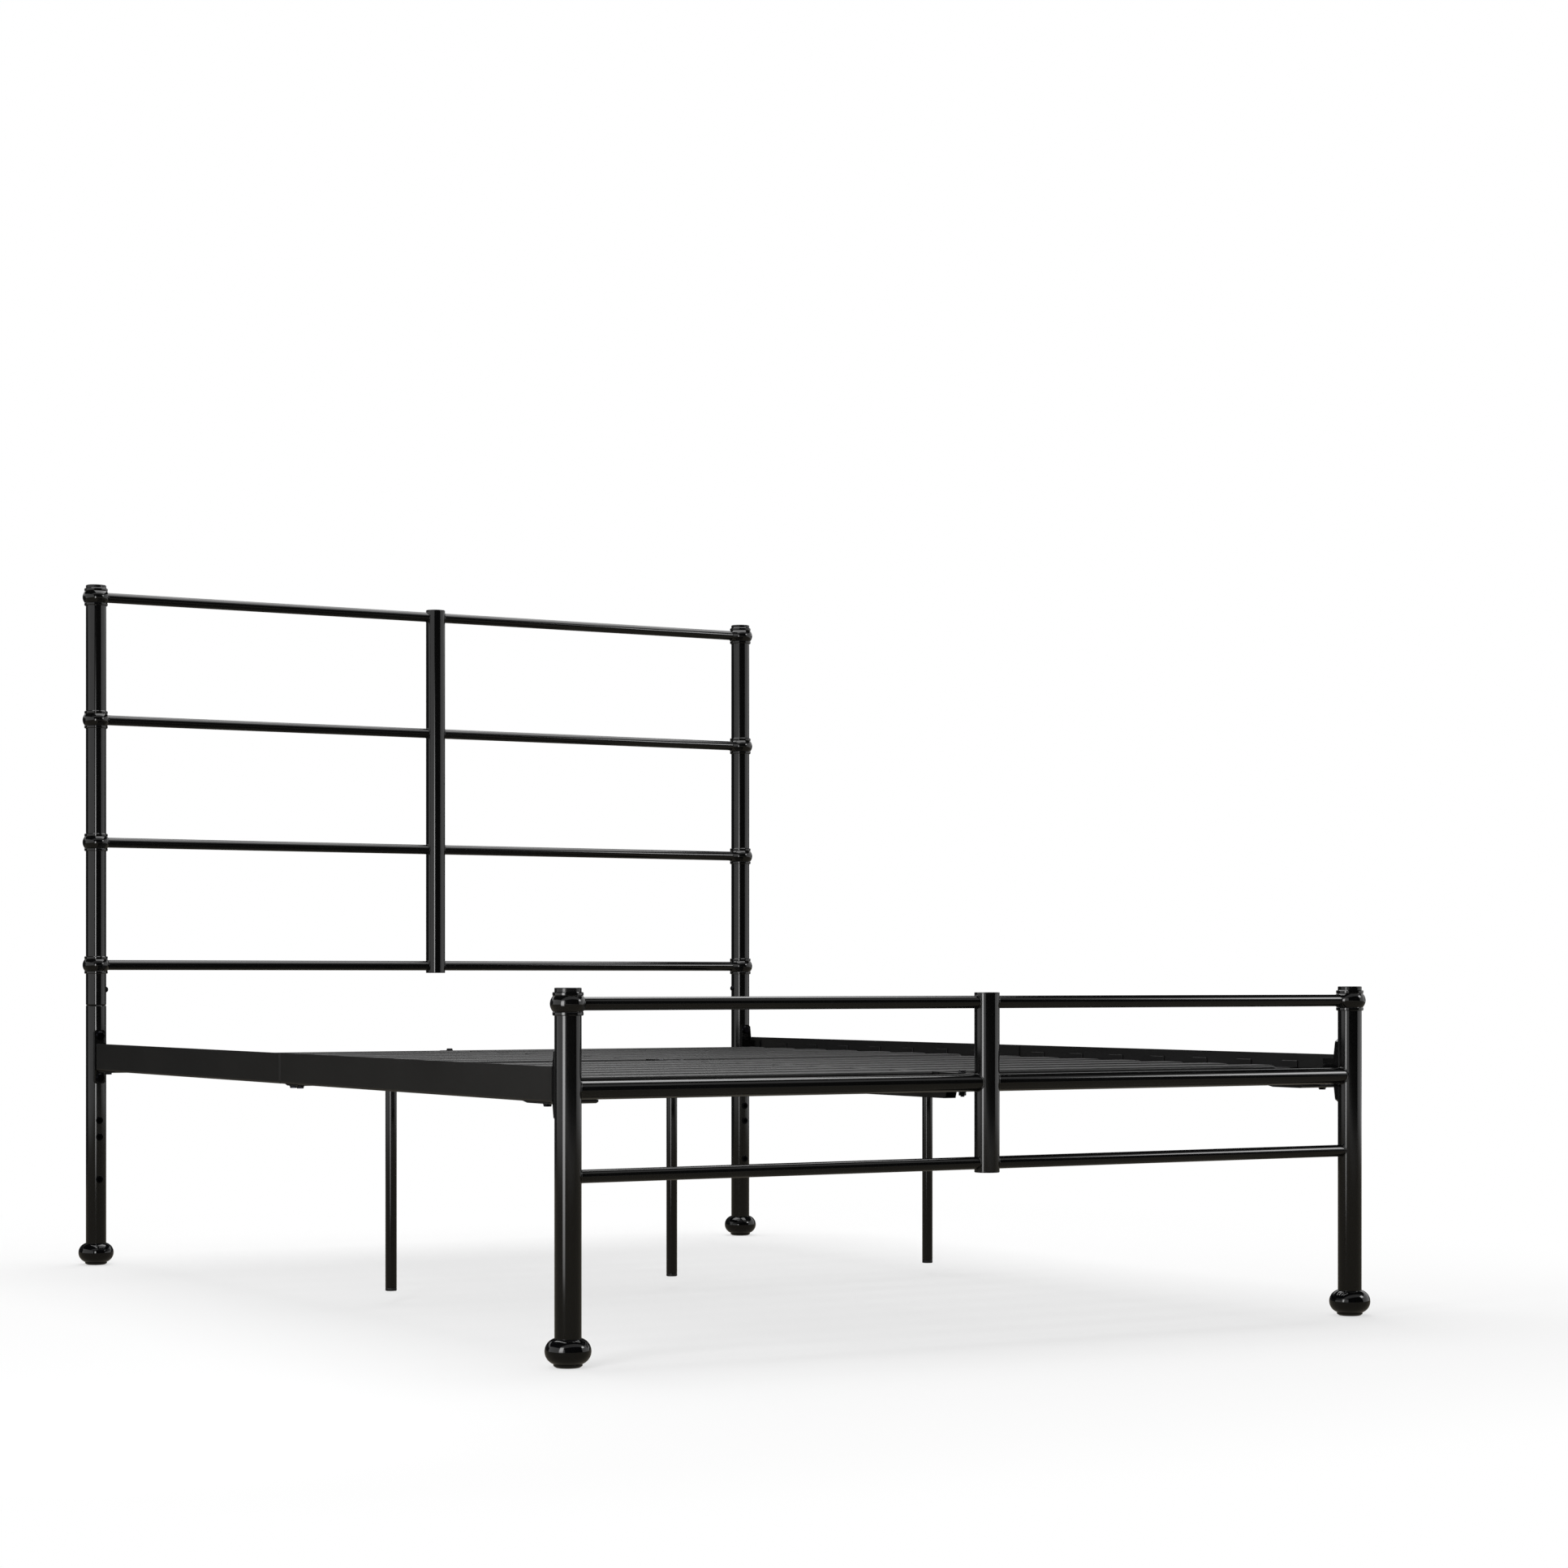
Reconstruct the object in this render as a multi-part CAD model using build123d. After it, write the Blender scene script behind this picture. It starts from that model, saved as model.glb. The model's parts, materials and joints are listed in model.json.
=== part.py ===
from build123d import *
import math
import os

# Metal bed frame for a full-size mattress. Millimetres.
# Origin on the floor under the middle of the deck, +X across the bed to the right,
# +Y towards the headboard, +Z up.

os.makedirs("parts", exist_ok=True)

# ---- overall layout ----
post_span_x = 1410.0        # between post axes, across the bed
post_span_y = 1955.0        # between post axes, along the bed
head_h = 1286.0             # from the floor to the top of the headboard's caps

# ---- posts, centre tubes and round rails ----
post_d = 38.0
post_wall = 1.2
rail_d = 19.0
rail_wall = 1.0
belt_rail_d = 25.4          # the middle rail of the footboard is stouter
weld_gap = 0.05             # coped rail ends stop this far off the tube they are welded to

head_low_rail_z = 566.9
head_rail_count = 4
foot_low_rail_z = 265.3
foot_belt_rail_z = 385.5
foot_top_rail_z = 506.4
center_tube_overrun = 14.5  # the centre tubes pass their outer rails by this much, plug included

leg_joint_z = 491.0         # where the headboard post slips over its leg
spigot_len = 60.0
spigot_clearance = 0.15
neck_len = 8.0              # length of the swaged taper under the spigot
joint_round_r = 4.0         # roll of the leg's shoulder under the joint
joint_edge = 0.9            # the post's end above it is turned off by this much
joint_edge_h = 1.6          # over this height
joint_screw_above = 29.5    # joint screw above the leg joint

# ---- collars, caps and plugs ----
collar_h = 33.0
collar_ring_d = 43.5
collar_ring_h = 5.5
collar_groove_d = 42.0
collar_bulge_d = 50.6
cap_h = 6.0
cap_edge = 1.2
cap_stem_len = 14.0
plug_h = 2.5
plug_clearance = 0.1

# ---- ball feet ----
ball_d = 65.5
ball_h = 35.2               # height of the round part
ball_lip = 1.5              # wall of the ball where the post enters it
ball_pad_h = 5.1
ball_pad_d = 34.0
ball_seat_z = 7.0           # floor of the socket that takes the post

# ---- side rails ----
rail_outset = 10.0          # the rail's outer face stands this far outside the post axes
rail_end_gap = 30.5         # from the rail's end to the post axis
rail_low_z = 367.5
rail_h = 51.0
rail_t = 2.0
rail_flange_w = 40.0
rail_bend_r = 4.0
rail_overlap = 80.0         # the two halves nest for this length about the middle
rail_joggle = 10.0          # length of the step that lets the head half nest inside

# ---- slats ----
slat_count_half = 7
slat_first_y = 99.0
slat_end_margin = 128.0     # from the last slat's middle to the end of the side rail
slat_w = 56.0
slat_h = 30.7               # of the long middle run
slat_end_drop = 4.7         # the web is this much lower where the slat bears on the side rails
slat_step_setback = 58.0    # the middle run stops this far short of the slat's end
slat_step_len = 8.0         # length of the slope down from it
slat_t = 1.0
slat_bend_r = 4.5
slat_tab_w = 38.0
slat_tab_t = 2.0            # the end tab is doubled over
slat_tab_h = 11.0           # how far it stands above the slat's end
slat_tab_edge = 0.4
slat_lip_setback = 22.0     # the side lips stop this far short of the slat's end
slat_notch_clearance = 2.0

# ---- cross members and centre rail ----
beam_rise = 3.0             # underside of the cross members above the underside of the side rails
beam_h = 14.0
leg_beam_w = 60.0
end_beam_w = 47.0
end_beam_inset = 66.0       # from the post axes to the middle of the beam
beam_wall = 1.2
beam_end_gap = 1.0          # between a beam's end and the side rail flange
pad_h = 2.3                 # the pads hang this far below the side rails
pad_reach = 36.0            # length of pad welded under the beam
leg_bolt_y = 14.5           # the pad's two bolts, either side of the middle
leg_pad_w = 54.0
leg_pad_slope = 9.0
end_pad_in = 59.5           # end pads reach this far inboard of the beam's middle
end_pad_out = 29.5          # and this far outboard
end_pad_slope = 14.0
center_rail_w = 20.0
center_rail_h = 36.4        # of the tube, without the bearer strip
center_rail_wall = 1.2
center_rail_end_slope = 10.0
center_rail_gap = 1.0       # between the two halves over the leg beam
bearer_h = 3.8              # strip on top of the tube that the slats bear on
bearer_gap = 2.0            # between the strip and the hook plate or the strap
strap_t = 3.0
strap_len = 94.0
strap_bolt_y = 36.0
hook_in = 48.5              # the hook plate's ends, from the middle of the end beam
hook_out = 27.5

# ---- centre legs and their levelling glides ----
leg_d = 19.0
leg_wall = 1.2
leg_inset = 170.0           # from the post axes to the outer legs
glide_lift = 20.4           # height of a glide's foot above the floor when it is screwed home
glide_pad_h = 5.5
glide_stem_d = 8.0
glide_stem_len = 42.0
glide_clearance = 0.2
leg_nut_h = 16.0

# ---- rail brackets ----
bracket_rise = 26.0         # middle of the bracket above the underside of the side rail
bracket_h = 101.0
bracket_w = 22.0
bracket_t = 3.0
bracket_lip_t = 2.0
bracket_lip_end = 0.6       # how far the side lips stand out at their ends
bracket_lip_mid = 4.6       # and in the middle
bracket_corner = 4.0        # cut off each corner
bracket_tongue_rise = 1.5   # middle of the tongue above the middle of the bracket
bracket_tongue_h = 34.0
bracket_tongue_lap = 42.0   # the tongue laps the rail's wall by this much
bracket_bolt_pitch = 80.0

# ---- fasteners ----
m8_d = 8.0
m8_hex = 13.0
m8_head_h = 5.5
m8_flange_d = 16.5
m8_flange_h = 1.2
m8_hole_d = 8.6
m6_d = 6.0
m6_hex = 10.0
m6_head_h = 4.1
m6_flange_d = 13.0
m6_flange_h = 1.0
m6_hole_d = 6.6
m6_nut_h = 5.0
m6_overhang = 1.8           # a deck bolt stands this far out of its nut
hex_face = 0.95             # round face left on a hex end, as a share of the width across flats
washer_d = 12.0
washer_t = 1.6
joint_head_d = 11.5
joint_head_h = 4.3
strap_head_d = 12.0
strap_head_h = 1.8
dome_mid_r = 0.75           # a domed head's curve passes this share of its radius
dome_mid_h = 0.7            # at this share of its height
nut_gap = 0.5               # between a deck nut and the bend of the side rail
rivnut_d = 11.0
rivnut_len = 13.0
rivnut_flange_d = 14.0
rivnut_flange_h = 1.2
rivnut_edge = 0.4
rivnut_recess = 0.4
low_hole_z = 162.0          # lowest of the rail bracket positions

# ---- worked out ----
post_x = post_span_x / 2
post_y = post_span_y / 2
post_r = post_d / 2
post_bore_r = post_r - post_wall
rail_r = rail_d / 2
belt_rail_r = belt_rail_d / 2
rail_outer_x = post_x + rail_outset
rail_end_y = post_y - rail_end_gap
end_beam_y = post_y - end_beam_inset
leg_x = post_x - leg_inset
bracket_z = rail_low_z + bracket_rise
head_top_rail_z = head_h - cap_h - collar_h / 2
head_rail_pitch = (head_top_rail_z - head_low_rail_z) / (head_rail_count - 1)
head_rail_levels = [head_low_rail_z + head_rail_pitch * k for k in range(head_rail_count)]
foot_rail_levels = [foot_low_rail_z, foot_belt_rail_z, foot_top_rail_z]
flange_top_z = rail_low_z + rail_t
rail_top_z = rail_low_z + rail_h
slat_top_z = flange_top_z + slat_h
slat_end_top_z = slat_top_z - slat_end_drop
deck_support_z = slat_top_z - slat_t
strap_seat_z = deck_support_z - bearer_h
beam_low_z = rail_low_z + beam_rise
beam_top_z = beam_low_z + beam_h
wall_inner_x = rail_outer_x - rail_t
flange_inner_x = rail_outer_x - rail_flange_w
beam_half_len = flange_inner_x - beam_end_gap
deck_bolt_x = rail_outer_x - rail_t - rail_bend_r - m6_hex / 2 - nut_gap
bolt_zs = [bracket_z + bracket_bolt_pitch / 2, bracket_z - bracket_bolt_pitch / 2]
spare_zs = [bolt_zs[1] - bracket_bolt_pitch, low_hole_z + bracket_bolt_pitch, low_hole_z]
slat_pitch = (rail_end_y - slat_end_margin - slat_first_y) / (slat_count_half - 1)
slat_ys = [slat_first_y + slat_pitch * k for k in range(slat_count_half)]
leg_xs = [-leg_x, 0.0, leg_x]
sides = [("left", -1), ("right", 1)]
ends = [("foot", -1), ("head", 1)]

UP = (Align.CENTER, Align.CENTER, Align.MIN)


def save(node, solids):
    """Writes one node: a single solid or a group of separate ones."""
    shape = solids[0] if len(solids) == 1 else Compound(children=solids)
    export_step(shape, "parts/" + node + ".step")


def solid_of(shape):
    """The single solid of a shape made by booleans."""
    return shape.solids().sort_by(SortBy.VOLUME)[-1]


def rod(radius, z_low, z_high, x=0.0, y=0.0):
    """Upright round bar."""
    return Pos(x, y, z_low) * Cylinder(radius, z_high - z_low, align=UP)


def pipe(radius, wall, z_low, z_high, x=0.0, y=0.0):
    """Upright round tube."""
    return rod(radius, z_low, z_high, x, y) - rod(radius - wall, z_low, z_high, x, y)


def bar_x(radius, x_low, x_high, y, z):
    """Round bar along X."""
    length = x_high - x_low
    return Pos((x_low + x_high) / 2, y, z) * Rot(0, 90, 0) * Cylinder(radius, length)


def bar_y(radius, x, y_low, y_high, z):
    """Round bar along Y."""
    length = y_high - y_low
    return Pos(x, (y_low + y_high) / 2, z) * Rot(90, 0, 0) * Cylinder(radius, length)


def block(x_low, x_high, y_low, y_high, z_low, z_high):
    """Box from its limits, given in either order."""
    size = (abs(x_high - x_low), abs(y_high - y_low), abs(z_high - z_low))
    middle = ((x_low + x_high) / 2, (y_low + y_high) / 2, (z_low + z_high) / 2)
    return Pos(*middle) * Box(*size)


def turned(profile):
    """Solid of revolution about Z from a closed face in the XZ plane."""
    return revolve(profile, Axis.Z)


def hexagon(across_flats):
    """Hexagon with two flats square to X."""
    return Rot(0, 0, 30) * RegularPolygon(across_flats / 2, 6, major_radius=False)


def hex_head(across_flats, height):
    """Hexagon on the XY plane with the corners of its upper end turned off at 30 degrees."""
    face_r = hex_face * across_flats / 2
    turned_off = Cone(face_r + height * math.sqrt(3), face_r, height, align=UP)
    return extrude(hexagon(across_flats), height) & turned_off


def flange_bolt(shank_d, across_flats, head_h, flange_d, flange_h, shank_len):
    """Hex flange bolt standing head up: the head's seat is at z 0 and the shank points down."""
    head = hex_head(across_flats, head_h)
    washer = Cylinder(flange_d / 2, flange_h, align=UP)
    washer = washer + Pos(0, 0, flange_h) * Cone(flange_d / 2, across_flats / 2, flange_h, align=UP)
    shank = rod(shank_d / 2, -shank_len, flange_h)
    return solid_of(head + washer + shank)


def m6_bolt(shank_len):
    return flange_bolt(m6_d, m6_hex, m6_head_h, m6_flange_d, m6_flange_h, shank_len)


def m8_bolt(shank_len):
    return flange_bolt(m8_d, m8_hex, m8_head_h, m8_flange_d, m8_flange_h, shank_len)


def m6_nut():
    """Hex nut on the XY plane with both ends turned off, bored to sit on its bolt."""
    upper = hex_head(m6_hex, m6_nut_h)
    lower = Pos(0, 0, m6_nut_h) * Rot(180, 0, 0) * upper
    return solid_of((upper & lower) - Cylinder(m6_d / 2, 3 * m6_nut_h))


def dome_screw(head_d, head_h, shank_len):
    """Domed M6 screw standing head up, with its seat at z 0."""
    head_r = head_d / 2
    with BuildSketch(Plane.XZ) as section:
        with BuildLine():
            Polyline((head_r, 0.0), (0.0, 0.0), (0.0, head_h))
            ThreePointArc((0.0, head_h), (head_r * dome_mid_r, head_h * dome_mid_h), (head_r, 0.0))
        make_face()
    return solid_of(turned(section.sketch) + rod(m6_d / 2, -shank_len, head_h / 2))


# ---- headboard and footboard ----
def round_rail(radius, side, y, z):
    """Half rail from a post to the centre tube, with both ends coped to the tubes."""
    x_low, x_high = sorted([0.0, side * post_x])
    rail = bar_x(radius, x_low, x_high, y, z) - bar_x(radius - rail_wall, x_low, x_high, y, z)
    cope = post_r + weld_gap
    for x in (0.0, side * post_x):
        rail = rail - rod(cope, z - 2 * radius, z + 2 * radius, x, y)
    return solid_of(rail)


def bolt_bores(x, y, toward_deck, zs):
    """Bores for the rivet nuts, on the face of a leg that looks at the deck."""
    reach = toward_deck * 2 * post_r
    return [bar_y(rivnut_d / 2, x, *sorted([y, y + reach]), z) for z in zs]


def head_post(side):
    """Upper headboard post: tube chamfered at its foot, with the joint screw's hole."""
    x = side * post_x
    top = head_rail_levels[-1] + collar_h / 2
    low = leg_joint_z
    outline = Polyline((post_bore_r, low), (post_r - joint_edge, low), (post_r, low + joint_edge_h),
                       (post_r, top), (post_bore_r, top), close=True)
    tube = Pos(x, post_y, 0) * turned(make_face(Plane.XZ * outline))
    screw_z = leg_joint_z + joint_screw_above
    return solid_of(tube - bar_x(m6_hole_d / 2, *sorted([x, x - side * post_d]), post_y, screw_z))


def head_leg(side):
    """Headboard leg: tube swaged at the top into a spigot that fills the post above."""
    x = side * post_x
    spigot_r = post_bore_r - spigot_clearance
    top = leg_joint_z + spigot_len
    inner = spigot_r - post_wall
    swage = post_r - spigot_r
    shoulder = leg_joint_z - math.sqrt(joint_round_r ** 2 - (joint_round_r - swage) ** 2)
    with BuildSketch(Plane.XZ) as section:
        with BuildLine():
            Polyline((spigot_r, leg_joint_z), (spigot_r, top), (inner, top), (inner, shoulder),
                     (post_bore_r, shoulder - neck_len), (post_bore_r, ball_seat_z), (post_r, ball_seat_z),
                     (post_r, shoulder))
            RadiusArc((post_r, shoulder), (spigot_r, leg_joint_z), -joint_round_r)
        make_face()
    tube = Pos(x, post_y, 0) * turned(section.sketch)
    screw_z = leg_joint_z + joint_screw_above
    tube = tube - bar_x(m6_d / 2, *sorted([x, x - side * post_d]), post_y, screw_z)
    for bore in bolt_bores(x, post_y, -1, bolt_zs + spare_zs):
        tube = tube - bore
    return solid_of(tube)


def foot_post(side):
    """Footboard post in one length, from the ball foot to the cap."""
    x = side * post_x
    tube = pipe(post_r, post_wall, ball_seat_z, foot_top_rail_z + collar_h / 2, x, -post_y)
    for bore in bolt_bores(x, -post_y, 1, bolt_zs + spare_zs):
        tube = tube - bore
    return solid_of(tube)


def center_tube(levels, y):
    """Upright tube in the middle of a board, between its plugs."""
    over = center_tube_overrun - plug_h
    return solid_of(pipe(post_r, post_wall, levels[0] - over, levels[-1] + over, 0.0, y))


def tube_plug(z, up, y):
    """Flat end plug with a stem inside the tube. up is 1 at a top end and -1 at a bottom end."""
    stem_r = post_bore_r - plug_clearance
    head = chamfer(Cylinder(post_r, plug_h, align=UP).edges().group_by(Axis.Z)[-1], cap_edge / 2)
    stem = rod(stem_r, -cap_stem_len, 0.0)
    plug = head + stem
    if up < 0:
        plug = Rot(180, 0, 0) * plug
    return solid_of(Pos(0, y, z) * plug)


def post_cap(x, y, z):
    """Disc that closes a post over its top collar, edge rounded, stem in the tube."""
    disc = Cylinder(post_r, cap_h, align=UP)
    disc = fillet(disc.edges().group_by(Axis.Z)[-1], cap_edge)
    stem = rod(post_bore_r - plug_clearance, -cap_stem_len, 0.0)
    return solid_of(Pos(x, y, z) * (disc + stem))


def collar(x, y, z, inward):
    """Turned collar: two rings with a round bulge between them, bored for the post and rail."""
    half = collar_h / 2
    ring_r = collar_ring_d / 2
    groove_r = collar_groove_d / 2
    shoulder = half - collar_ring_h
    edge = collar_ring_h / 5
    with BuildSketch(Plane.XZ) as section:
        with BuildLine():
            Polyline((post_r, shoulder), (post_r, half), (ring_r - edge, half), (ring_r, half - edge),
                     (ring_r, shoulder + edge), (groove_r, shoulder))
            ThreePointArc((groove_r, shoulder), (collar_bulge_d / 2, 0.0), (groove_r, -shoulder))
            Polyline((groove_r, -shoulder), (ring_r, -shoulder - edge), (ring_r, edge - half),
                     (ring_r - edge, -half), (post_r, -half), (post_r, shoulder))
        make_face()
    body = Pos(x, y, z) * turned(section.sketch)
    mouth = bar_x(rail_r, *sorted([x, x + inward * collar_bulge_d]), y, z)
    return solid_of(body - mouth)


def ball_foot(x, y):
    """Turned ball with a flat pad below and a socket for the post above."""
    pad_r = ball_pad_d / 2
    neck_r = post_r + ball_lip
    high = ball_pad_h + ball_h
    with BuildSketch(Plane.XZ) as section:
        with BuildLine():
            Polyline((neck_r, high), (post_r, high), (post_r, ball_seat_z), (0.0, ball_seat_z), (0.0, 0.0),
                     (pad_r, 0.0), (neck_r, ball_pad_h / 2), (neck_r, ball_pad_h))
            ThreePointArc((neck_r, ball_pad_h), (ball_d / 2, ball_pad_h + ball_h / 2), (neck_r, high))
        make_face()
    return solid_of(Pos(x, y, 0) * turned(section.sketch))


# ---- rail brackets ----
def rail_bracket(side, end):
    """Pressed saddle: a web hollowed to hug the leg, side lips, and a tongue lapping the rail."""
    x = side * post_x
    y = end * post_y
    inboard = -end
    half_w = bracket_w / 2
    face_y = post_r + bracket_t
    z_low = bracket_z - bracket_h / 2
    z_high = bracket_z + bracket_h / 2
    depth_start = math.sqrt(post_r ** 2 - half_w ** 2)
    web = block(-half_w, half_w, depth_start, face_y, z_low, z_high)
    lip_profile = Polyline(
        (depth_start, z_low),
        (face_y + bracket_lip_end, z_low),
        (face_y + bracket_lip_mid, z_low + bracket_h / 4),
        (face_y + bracket_lip_mid, z_high - bracket_h / 4),
        (face_y + bracket_lip_end, z_high),
        (depth_start, z_high),
        close=True,
    )
    lip = extrude(make_face(Plane.YZ * lip_profile), bracket_lip_t)
    outer_lip = Pos(half_w - bracket_lip_t, 0, 0) * lip
    inner_lip = Pos(-half_w, 0, 0) * lip
    tongue_x = wall_inner_x - post_x
    tongue_end = post_y - rail_end_y + bracket_tongue_lap
    tongue_z = bracket_z + bracket_tongue_rise
    tongue = block(tongue_x - bracket_t, tongue_x, face_y - bracket_t / 2, tongue_end,
                   tongue_z - bracket_tongue_h / 2, tongue_z + bracket_tongue_h / 2)
    saddle = web + outer_lip + inner_lip
    corners = [(x_edge, z_edge) for x_edge in (-half_w, half_w) for z_edge in (z_low, z_high)]
    for x_edge, z_edge in corners:
        cut = bracket_corner * math.sqrt(2)
        saddle = saddle - Pos(x_edge, face_y, z_edge) * Rot(0, 45, 0) * Box(cut, 2 * face_y, cut)
    body = saddle + tongue
    body = body - rod(post_r, z_low - bracket_t, z_high + bracket_t)
    recess_r = rivnut_flange_d / 2 + rivnut_recess
    recess_top = post_r + rivnut_flange_h + rivnut_recess
    for z in bolt_zs:
        body = body - bar_y(m8_hole_d / 2, 0.0, 0.0, 2 * face_y, z)
        body = body - bar_y(recess_r, 0.0, 0.0, recess_top, z)
    body = solid_of(body)
    if side < 0:
        body = mirror(body, Plane.YZ)
    if inboard < 0:
        body = mirror(body, Plane.XZ)
    return solid_of(Pos(x, y, 0) * body)


def rivet_nut(x, y, inboard, z):
    """Rivet nut in a leg: its flat flange touches the tube's crest. Bored for an M8 thread."""
    tip = post_r + rivnut_flange_h
    flange = bar_y(rivnut_flange_d / 2, 0, post_r, tip, z)
    flange = chamfer(flange.edges().group_by(Axis.Y)[-1], rivnut_edge)
    body = bar_y(rivnut_d / 2, 0, tip - rivnut_len, tip, z)
    nut = flange + body - bar_y(m8_d / 2, 0, 0, 2 * post_r, z)
    if inboard < 0:
        nut = mirror(nut, Plane.XZ)
    return solid_of(Pos(x, y, 0) * nut)


def bracket_bolt(x, y, inboard, z):
    """M8 flange bolt through the bracket into its rivet nut."""
    shank = bracket_t + rivnut_len - rivnut_flange_h
    bolt = Pos(0, post_r + bracket_t, z) * Rot(-90, 0, 0) * m8_bolt(shank)
    if inboard < 0:
        bolt = mirror(bolt, Plane.XZ)
    return solid_of(Pos(x, y, 0) * bolt)


# ---- side rails ----
def rail_section(step, y, side):
    """Angle section at y. step moves it inward and up, as in the nested stretch."""
    outer = rail_outer_x - step
    low = rail_low_z + step
    inner = outer - rail_flange_w + step
    bend = rail_bend_r
    with BuildSketch(Plane(origin=(0, y, 0), x_dir=(1, 0, 0), z_dir=(0, -1, 0))) as section:
        with BuildLine():
            Polyline((outer, low + bend), (outer, rail_top_z), (outer - rail_t, rail_top_z),
                     (outer - rail_t, low + bend))
            RadiusArc((outer - rail_t, low + bend), (outer - bend, low + rail_t), bend - rail_t)
            Polyline((outer - bend, low + rail_t), (inner, low + rail_t), (inner, low),
                     (outer - bend, low))
            RadiusArc((outer - bend, low), (outer, low + bend), -bend)
        make_face()
    face = section.sketch.faces()[0]
    return mirror(face, Plane.YZ) if side < 0 else face


def flange_holes(solid, side, ys):
    """Bolt holes through the bottom flange."""
    for y in ys:
        x = side * deck_bolt_x
        solid = solid - rod(m6_hole_d / 2, rail_low_z - rail_t, rail_low_z + 4 * rail_t, x, y)
    return solid_of(solid)


def side_rail_foot(side):
    """Foot half of a side rail: a plain angle, outside in the nested stretch."""
    length = rail_end_y + rail_overlap / 2
    rail = extrude(rail_section(0.0, -rail_end_y, side), length, dir=(0, 1, 0))
    return flange_holes(rail, side, [-end_beam_y, -leg_bolt_y, leg_bolt_y])


def side_rail_head(side):
    """Head half: stepped inward over the nested stretch, so its outside lies flush beyond it."""
    nest_end = rail_overlap / 2
    flush = nest_end + rail_joggle
    tongue = extrude(rail_section(rail_t, -nest_end, side), rail_overlap, dir=(0, 1, 0))
    step = loft([rail_section(rail_t, nest_end, side), rail_section(0.0, flush, side)], ruled=True)
    main = extrude(rail_section(0.0, flush, side), rail_end_y - flush, dir=(0, 1, 0))
    return flange_holes(tongue + step + main, side, [end_beam_y, -leg_bolt_y, leg_bolt_y])


# ---- slats ----
def slat_section(x, top):
    """Channel section at x, open below, with the top of its web at the given height."""
    depth = top - flange_top_z
    outer = Pos(0, top - depth / 2) * Rectangle(slat_w, depth)
    outer = fillet(outer.vertices().group_by(Axis.Y)[-1], slat_bend_r)
    inner_depth = depth - slat_t
    inner = Pos(0, flange_top_z + inner_depth / 2) * Rectangle(slat_w - 2 * slat_t, inner_depth)
    inner = fillet(inner.vertices().group_by(Axis.Y)[-1], slat_bend_r - slat_t)
    section = Plane(origin=(x, 0, 0), x_dir=(0, 1, 0), z_dir=(1, 0, 0)) * (outer - inner)
    return section.faces()[0]


def slat(y):
    """Channel slat: raised middle run, lips on the rail flanges, corners cut, tabs turned up."""
    half_len = wall_inner_x
    crown_end = half_len - slat_step_setback
    step_end = crown_end + slat_step_len
    end_seat_z = slat_end_top_z - slat_t
    lip_end = half_len - slat_lip_setback
    crown = extrude(slat_section(-crown_end, slat_top_z), 2 * crown_end)
    step = loft([slat_section(crown_end, slat_top_z), slat_section(step_end, slat_end_top_z)], ruled=True)
    low_run = extrude(slat_section(step_end, slat_end_top_z), lip_end - step_end)
    half_w = slat_w / 2 - slat_bend_r
    half_tab = slat_tab_w / 2
    cut = lip_end + slat_lip_setback / 2
    corner = Polyline((lip_end, -half_w), (cut, -half_tab), (half_len, -half_tab), (half_len, half_tab),
                      (cut, half_tab), (lip_end, half_w), close=True)
    end_sheet = extrude(Pos(0, 0, end_seat_z) * make_face(corner), slat_t)
    tab = block(half_len - slat_tab_t, half_len, -half_tab, half_tab, end_seat_z, slat_end_top_z + slat_tab_h)
    tab = chamfer(tab.faces().sort_by(Axis.X)[0].edges(), slat_tab_edge)
    notch_half = center_rail_w / 2 + slat_notch_clearance
    notch = block(-notch_half, notch_half, -slat_w, slat_w, flange_top_z - slat_t, deck_support_z)
    end_piece = step + low_run + end_sheet + tab
    body = crown + end_piece + mirror(end_piece, Plane.YZ) - notch
    return solid_of(Pos(0, y, 0) * body)


# ---- cross members ----
def hollow_beam(width, y):
    """Rectangular tube across the bed, between the side rail flanges."""
    outer = block(-beam_half_len, beam_half_len, y - width / 2, y + width / 2, beam_low_z, beam_top_z)
    inner = block(-beam_half_len, beam_half_len, y - width / 2 + beam_wall, y + width / 2 - beam_wall,
                  beam_low_z + beam_wall, beam_top_z - beam_wall)
    return outer - inner


def end_pad(low_reach, high_reach, low_slope, high_slope):
    """Pad under a beam's end, on the +X side, that bolts below the side rail's flange."""
    x_start = beam_half_len - pad_reach
    top = rail_low_z
    bottom = rail_low_z - pad_h
    outline = Polyline((-low_reach, top), (-low_reach + low_slope, bottom), (high_reach - high_slope, bottom),
                       (high_reach, top), close=True)
    plate = extrude(Pos(x_start, 0, 0) * make_face(Plane.YZ * outline), wall_inner_x - x_start)
    return plate + block(x_start, beam_half_len, -low_reach, high_reach, top, beam_low_z)


def leg_beam():
    """Middle cross member: carries the three legs and is bolted under both rail overlaps."""
    pad = end_pad(leg_pad_w / 2, leg_pad_w / 2, leg_pad_slope, leg_pad_slope)
    beam = hollow_beam(leg_beam_w, 0.0) + pad + mirror(pad, Plane.YZ)
    for x in leg_xs:
        beam = beam - rod(leg_d / 2, rail_low_z - pad_h, beam_top_z - beam_wall, x)
        beam = beam - rod(m6_hole_d / 2, beam_low_z, beam_top_z + beam_wall, x)
    for side in (-1, 1):
        for y in (-leg_bolt_y, leg_bolt_y):
            beam = beam - rod(m6_hole_d / 2, rail_low_z - 2 * pad_h, beam_low_z, side * deck_bolt_x, y)
    return solid_of(beam)


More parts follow.
